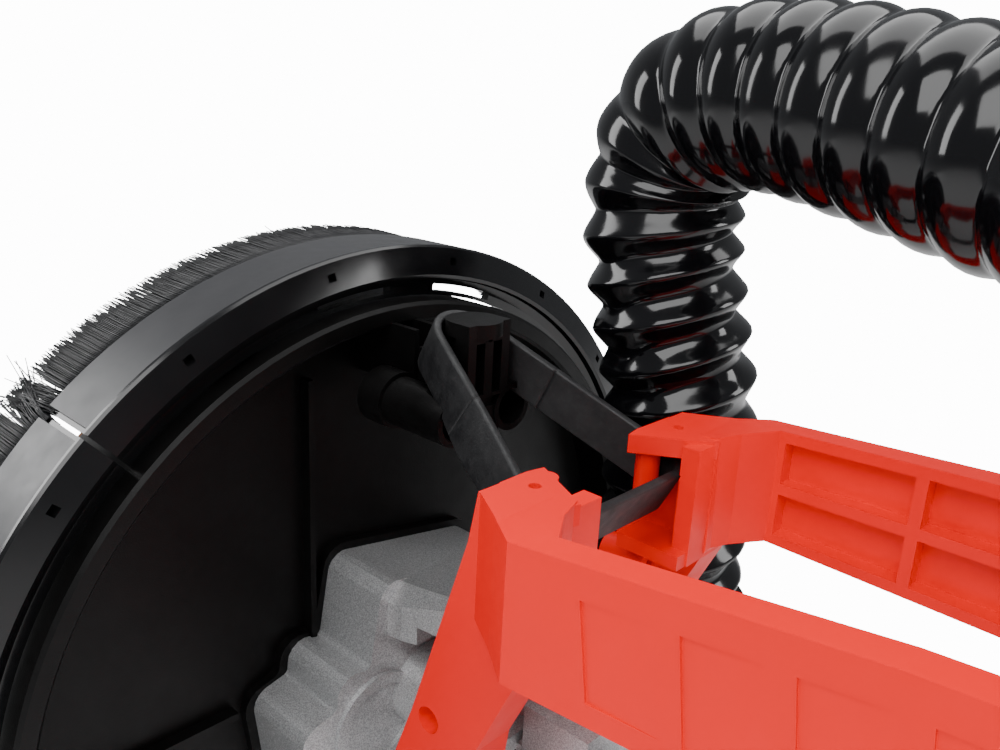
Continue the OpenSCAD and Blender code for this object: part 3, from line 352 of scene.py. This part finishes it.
def make_strap():
    line = strap_line()
    tilt = Matrix.Rotation(STRAP_FALL, 3, "Y")
    width = tilt @ Vector((0, 0, 1))
    rings = []
    places = []
    for i, q in enumerate(line):
        before, after = line[i - 1], line[(i + 1) % len(line)]
        along = (after - before).normalized()
        outward = Vector((along.y, -along.x))
        # the near strand is a little slack: it bows, sags and twists slightly
        slack = 0.0
        if q.y < -0.004 and SLACK_FROM < q.x < SLACK_TO:
            u = (q.x - SLACK_FROM) / (SLACK_TO - SLACK_FROM)
            slack = math.sin(math.pi * u) ** 2
        p = tilt @ Vector((q.x + outward.x * SLACK_BOW * slack, q.y + outward.y * SLACK_BOW * slack, 0))
        twist = SLACK_TWIST * slack
        out = (tilt @ Vector((outward.x, outward.y, 0))).normalized()
        across = width * math.cos(twist) + out * math.sin(twist)
        through = out * math.cos(twist) - width * math.sin(twist)
        centre = STRAP_ORIGIN + p + Vector((0, 0, -SLACK_SAG)) * slack
        rings.append(band_ring(centre, across, through))
        places.append(centre)
    is_head = [p.x < STRAP_CUT_X for p in places]
    count = len(rings)
    first_head = next(i for i in range(count) if is_head[i] and not is_head[i - 1])
    first_tip = next(i for i in range(count) if not is_head[i] and is_head[i - 1])

    def run(a, b):
        result = []
        i = a
        while True:
            result.append(rings[i])
            if i == b:
                return result
            i = (i + 1) % count
    head = skin_rings("rubber_strap_hook_end", run(first_head, first_tip))
    tips = skin_rings("rubber_strap_tip_end", run(first_tip, first_head))
    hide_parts("rubber_strap")
    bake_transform(head)
    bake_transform(tips)
    return head, tips


strap_pieces = make_strap()


# ---------- bristles ----------
SEAM_FROM = math.radians(42.6)
SEAM_TO = math.radians(102.6)
HAIR_SPACING = 0.00036
ROW_SPACING = 0.0007
HAIR_ROWS = 6
HAIR_ROOT = 0.002      # depth of the roots inside the strip


def make_bristles(name, node, a0, a1, seed):
    """Tapered nylon hairs in rows, from inside the strip to just past the working face."""
    draw = random.Random(seed)
    vertices = []
    faces = []
    outer = RING_R - 0.0004
    sides = 3
    for row in range(HAIR_ROWS):
        r0 = outer - 0.0006 - row * ROW_SPACING
        count = int((a1 - a0) * r0 / HAIR_SPACING)
        for k in range(count):
            a = a0 + (a1 - a0) * (k + draw.uniform(0.25, 0.75)) / count
            edge = min(a - a0, a1 - a) * r0
            stray = draw.random() < (0.25 if edge < 0.003 else 0.0008)
            lean = draw.gauss(0, 0.011) + (draw.gauss(0, 0.22) if stray else 0)
            if edge < 0.006:
                lean += (0.25 if a - a0 < a1 - a else -0.25) * draw.random() * -1
            splay = 0.03 + draw.gauss(0, 0.008) + (abs(draw.gauss(0, 0.12)) if stray else 0)
            reach = STRIP_FRONT + HAIR_ROOT - BRISTLE_TIP - draw.uniform(0, 0.0007)
            thick = draw.uniform(0.00021, 0.00025)
            radial = Vector((0, -math.sin(a), math.cos(a)))
            round_ = Vector((0, -math.cos(a), -math.sin(a)))
            base = Vector((STRIP_FRONT + HAIR_ROOT, 0, 0)) + radial * r0
            start = len(vertices)
            for level in range(4):
                t = level / 3
                centre = (base + Vector((-reach * t, 0, 0)) + radial * (splay * reach * t * t)
                          + round_ * (lean * reach * t * (0.4 + 0.6 * t)))
                r = thick * (1 - 0.35 * t)
                for s in range(sides):
                    b = 2 * math.pi * s / sides
                    vertices.append(centre + radial * (r * math.cos(b)) + round_ * (r * math.sin(b)))
            for level in range(3):
                for s in range(sides):
                    m = (s + 1) % sides
                    p = start + level * sides
                    faces.append((p + s, p + m, p + sides + m, p + sides + s))
            faces.append((start, start + 2, start + 1))
            faces.append((start + 9, start + 10, start + 11))
    piece = new_object(name, vertices, faces, smooth=True)
    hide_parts(node)
    return piece


ring_hairs = make_bristles(
    "bristle_hairs", "bristles", SEAM_TO + 0.006, SEAM_FROM - 0.006 + 2 * math.pi, seed=5)
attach(ring_hairs, "ring")
segment_hairs = make_bristles(
    "segment_bristle_hairs", "segment_bristles", SEAM_FROM + 0.003, SEAM_TO - 0.003, seed=6)
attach(segment_hairs, "segment")


# ---------- coil springs of the floating ring ----------
def make_springs():
    low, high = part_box("ring_springs")
    guide_r = 0.1253
    wire = 0.00045
    coil_r = 0.0033
    turns = 7
    made = []
    for n in range(3):
        a = math.radians(24 + 120 * n)
        up = Vector((0, -math.sin(a), math.cos(a)))
        side = Vector((0, math.cos(a), math.sin(a)))
        path = []
        steps = turns * 20
        for k in range(steps + 1):
            t = k / steps
            b = 2 * math.pi * turns * t
            x = low[0] + wire + (high[0] - low[0] - 2 * wire) * t
            path.append(Vector((x, 0, 0)) + up * (guide_r + coil_r * math.cos(b))
                        + side * (coil_r * math.sin(b)))
        frames = carried_frames(path, first=Vector((1, 0, 0)))
        made.append(skin_rings("ring_spring_%d" % (n + 1), tube_rings(path, frames, lambda s, g: wire, 8)))
    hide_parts("ring_springs")
    for spring in made:
        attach(spring, "head")
        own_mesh(spring)
    return made


spring_pieces = make_springs()


# ---------- materials ----------
class Look:
    """A node material on one Principled shader."""

    def __init__(self, name, colour, roughness, metallic=0.0):
        self.material = bpy.data.materials.new(name)
        self.material.use_nodes = True
        self.tree = self.material.node_tree
        self.shader = self.tree.nodes["Principled BSDF"]
        self.shader.inputs["Base Color"].default_value = (*colour, 1)
        self.shader.inputs["Roughness"].default_value = roughness
        self.shader.inputs["Metallic"].default_value = metallic
        self.colour = colour
        self.roughness = roughness
        self.coordinates = self.tree.nodes.new("ShaderNodeTexCoord").outputs["Object"]
        self.normal = None

    def set(self, socket, value):
        self.shader.inputs[socket].default_value = value
        return self

    def noise(self, scale, detail=4.0, rough=0.55, stretch=None):
        node = self.tree.nodes.new("ShaderNodeTexNoise")
        node.inputs["Scale"].default_value = scale
        node.inputs["Detail"].default_value = detail
        node.inputs["Roughness"].default_value = rough
        source = self.coordinates
        if stretch:
            mapping = self.tree.nodes.new("ShaderNodeMapping")
            mapping.inputs["Scale"].default_value = stretch
            self.tree.links.new(source, mapping.inputs["Vector"])
            source = mapping.outputs["Vector"]
        self.tree.links.new(source, node.inputs["Vector"])
        return node.outputs["Fac"]

    def ramp(self, source, low, high, first, second):
        node = self.tree.nodes.new("ShaderNodeValToRGB")
        node.color_ramp.elements[0].position = low
        node.color_ramp.elements[1].position = high
        node.color_ramp.elements[0].color = first
        node.color_ramp.elements[1].color = second
        self.tree.links.new(source, node.inputs["Fac"])
        return node.outputs["Color"]

    def vary_colour(self, scale, other, low=0.35, high=0.65, **kw):
        source = self.noise(scale, **kw)
        colour = self.ramp(source, low, high, (*self.colour, 1), (*other, 1))
        self.tree.links.new(colour, self.shader.inputs["Base Color"])
        return self

    def vary_roughness(self, scale, spread, **kw):
        source = self.noise(scale, **kw)
        node = self.tree.nodes.new("ShaderNodeMapRange")
        node.inputs["From Min"].default_value = 0.3
        node.inputs["From Max"].default_value = 0.7
        node.inputs["To Min"].default_value = max(0.02, self.roughness - spread)
        node.inputs["To Max"].default_value = min(1.0, self.roughness + spread)
        self.tree.links.new(source, node.inputs["Value"])
        self.tree.links.new(node.outputs["Result"], self.shader.inputs["Roughness"])
        return self

    def bump(self, source, strength, distance):
        node = self.tree.nodes.new("ShaderNodeBump")
        node.inputs["Strength"].default_value = strength
        node.inputs["Distance"].default_value = distance
        self.tree.links.new(source, node.inputs["Height"])
        if self.normal:
            self.tree.links.new(self.normal, node.inputs["Normal"])
        self.normal = node.outputs["Normal"]
        self.tree.links.new(self.normal, self.shader.inputs["Normal"])
        return self

    def grain(self, scale, strength, distance, **kw):
        return self.bump(self.noise(scale, **kw), strength, distance)


def red_plastic():
    look = Look("red_plastic", (0.90, 0.004, 0.001), 0.46)
    look.vary_colour(18, (0.85, 0.004, 0.001))
    look.vary_roughness(240, 0.05)
    look.grain(2600, 0.10, 0.0001, detail=2)
    return look.set("Specular IOR Level", 0.2).material


def matte_black_plastic():
    look = Look("shroud_plastic", (0.0012, 0.0010, 0.0010), 0.44)
    look.vary_colour(300, (0.0020, 0.0018, 0.0018))
    look.vary_roughness(90, 0.06)
    look.grain(2200, 0.28, 0.0002, detail=3)
    return look.set("Specular IOR Level", 0.16).material


def gloss_black_plastic():
    look = Look("ring_plastic", (0.0045, 0.0045, 0.005), 0.16)
    look.vary_roughness(60, 0.04)
    look.grain(45, 0.05, 0.0006, detail=2)
    return look.set("Specular IOR Level", 0.42).material


def strip_plastic():
    look = Look("strip_plastic", (0.026, 0.026, 0.028), 0.40)
    look.vary_colour(60, (0.026, 0.026, 0.028))
    look.vary_roughness(120, 0.05)
    look.grain(900, 0.08, 0.0001, stretch=(4, 1, 1))
    return look.material


def bristle_nylon():
    look = Look("bristle", (0.006, 0.006, 0.007), 0.42)
    look.vary_colour(700, (0.016, 0.016, 0.018), low=0.4, high=0.7)
    return look.material


def cast_aluminium():
    look = Look("cast_aluminium", (0.30, 0.303, 0.306), 0.42, metallic=0.66)
    look.vary_colour(2600, (0.60, 0.605, 0.61), low=0.38, high=0.68, detail=2)
    look.vary_roughness(900, 0.10)
    look.grain(2000, 0.4, 0.0003, detail=4, rough=0.65)
    look.grain(160, 0.15, 0.0008, detail=2)
    return look.material


def machined(name, colour, roughness):
    look = Look(name, colour, roughness, metallic=1.0)
    look.vary_roughness(700, 0.08)
    look.grain(2400, 0.10, 0.0001, stretch=(0.15, 1, 1))
    return look.material


def strap_rubber():
    look = Look("strap_rubber", (0.004, 0.004, 0.0048), 0.6)
    look.vary_colour(420, (0.013, 0.013, 0.014), low=0.5, high=0.8, detail=6)
    look.vary_roughness(200, 0.12)
    look.grain(1500, 0.3, 0.0003)
    return look.material


def plain_rubber():
    look = Look("rubber", (0.012, 0.012, 0.013), 0.6)
    look.vary_colour(200, (0.02, 0.02, 0.021))
    look.grain(1700, 0.2, 0.0002)
    return look.material


def hose_pvc():
    look = Look("hose_pvc", (0.0022, 0.0022, 0.0028), 0.12)
    look.vary_roughness(80, 0.05)
    look.grain(110, 0.10, 0.0008, detail=2)
    return look.set("Specular IOR Level", 0.42).material


def black_plastic():
    look = Look("black_plastic", (0.014, 0.014, 0.015), 0.38)
    look.vary_colour(160, (0.02, 0.02, 0.021))
    look.grain(1900, 0.15, 0.0002)
    return look.material


def pad_foam_look():
    look = Look("foam", (0.045, 0.045, 0.05), 0.85)
    look.vary_colour(900, (0.02, 0.02, 0.022))
    look.grain(1600, 0.7, 0.0006, detail=2)
    return look.material


def abrasive_look():
    look = Look("abrasive", (0.20, 0.085, 0.040), 0.8)
    look.vary_colour(3500, (0.42, 0.21, 0.11), low=0.4, high=0.6)
    look.grain(3000, 0.9, 0.0006)
    return look.material


def winding_look():
    look = Look("winding", (0.42, 0.15, 0.055), 0.35, metallic=0.9)
    look.vary_colour(500, (0.62, 0.27, 0.12))
    look.grain(1200, 0.4, 0.0004, stretch=(0.2, 1, 1))
    return look.material


def circuit_look():
    look = Look("circuit", (0.010, 0.085, 0.030), 0.4)
    look.vary_colour(400, (0.014, 0.13, 0.05))
    look.grain(900, 0.2, 0.0002)
    return look.material


looks = {
    "red_plastic": red_plastic(),
    "shroud_plastic": matte_black_plastic(),
    "ring_plastic": gloss_black_plastic(),
    "strip_plastic": strip_plastic(),
    "bristle": bristle_nylon(),
    "cast_aluminium": cast_aluminium(),
    "steel": machined("steel", (0.55, 0.56, 0.58), 0.28),
    "bronze": machined("bronze", (0.55, 0.34, 0.15), 0.35),
    "pole_aluminium": machined("pole_aluminium", (0.72, 0.73, 0.75), 0.34),
    "strap_rubber": strap_rubber(),
    "rubber": plain_rubber(),
    "hose_pvc": hose_pvc(),
    "black_plastic": black_plastic(),
    "foam": pad_foam_look(),
    "abrasive": abrasive_look(),
    "winding": winding_look(),
    "circuit": circuit_look(),
}


def dress(piece, slot):
    piece.data.materials.clear()
    piece.data.materials.append(looks[slot])


def dress_nodes():
    """Every carried-over CAD node takes the look of its material slot."""
    for part in frame["record"]["subparts"]:
        dress(nodes[part["node"]], part["material_slot"])


ROUNDED = {
    "fork_left": 0.0009, "fork_right": 0.0009, "gearbox_housing": 0.0009, "strap_hook": 0.0004,
    "shroud_housing": 0.0005, "brush_ring": 0.0004, "gimbal_frame": 0.0006,
}


def round_edges(name, width, segments=2, angle=35):
    bevel = nodes[name].modifiers.new("round_edges", "BEVEL")
    bevel.width = width
    bevel.segments = segments
    bevel.limit_method = "ANGLE"
    bevel.angle_limit = math.radians(angle)
    bevel.use_clamp_overlap = True
    bevel.harden_normals = False
    bevel.miter_outer = "MITER_ARC"


dress_nodes()
for name, width in ROUNDED.items():
    round_edges(name, width)
for piece in hose_pieces:
    dress(piece, "hose_pvc")
for piece in flex_pieces[0]:
    dress(piece, "rubber")
for piece in flex_pieces[1]:
    dress(piece, "steel")
for piece in strap_pieces:
    dress(piece, "strap_rubber")
for piece in (ring_hairs, segment_hairs):
    dress(piece, "bristle")
for piece in spring_pieces:
    dress(piece, "steel")


# ---------- floor, light ----------
def white_to_camera(tree, surface, output, kind):
    """The camera sees plain white in place of the surface; every other ray meets the surface."""
    white = tree.nodes.new(kind)
    white.inputs["Color"].default_value = (1, 1, 1, 1)
    white.inputs["Strength"].default_value = 14.0
    rays = tree.nodes.new("ShaderNodeLightPath")
    mix = tree.nodes.new("ShaderNodeMixShader")
    tree.links.new(rays.outputs["Is Camera Ray"], mix.inputs["Fac"])
    tree.links.new(surface, mix.inputs[1])
    tree.links.new(white.outputs[0], mix.inputs[2])
    tree.links.new(mix.outputs["Shader"], tree.nodes[output].inputs["Surface"])


def make_floor():
    size = 6.0
    piece = new_object("floor", [(-size, -size, floor_z), (size, -size, floor_z), (size, size, floor_z),
                                 (-size, size, floor_z)], [(0, 1, 2, 3)], smooth=False)
    look = Look("floor", (0.90, 0.90, 0.90), 0.8)
    look.vary_colour(4, (0.88, 0.88, 0.88))
    white_to_camera(look.tree, look.shader.outputs["BSDF"], "Material Output", "ShaderNodeEmission")
    piece.data.materials.append(look.material)


def area_light(name, at, aim, size, power, colour=(1, 1, 1)):
    data = bpy.data.lights.new(name, "AREA")
    data.shape = "RECTANGLE"
    data.size, data.size_y = size
    data.energy = power
    data.color = colour
    light = bpy.data.objects.new(name, data)
    bpy.context.scene.collection.objects.link(light)
    light.location = at
    light.rotation_euler = (Vector(aim) - Vector(at)).to_track_quat("-Z", "Y").to_euler()


def make_world():
    """Soft pale room light; the camera itself sees a plain white room."""
    world = bpy.data.worlds.new("studio")
    bpy.context.scene.world = world
    world.use_nodes = True
    tree = world.node_tree
    room = tree.nodes["Background"]
    room.inputs["Color"].default_value = (0.93, 0.96, 1.0, 1)
    room.inputs["Strength"].default_value = 0.30
    white_to_camera(tree, room.outputs["Background"], "World Output", "ShaderNodeBackground")


def make_lights():
    aim = (0.10, 0.0, 0.08)
    area_light("key", (0.45, -0.75, 1.0), aim, (1.1, 0.8), 17)
    area_light("top", (0.0, 0.35, 1.2), aim, (1.3, 1.0), 14)
    area_light("left", (-0.9, -0.5, 0.55), aim, (0.35, 0.8), 7)
    area_light("right", (1.1, 0.7, 0.7), aim, (0.4, 0.8), 8)
    make_world()


make_floor()
make_lights()
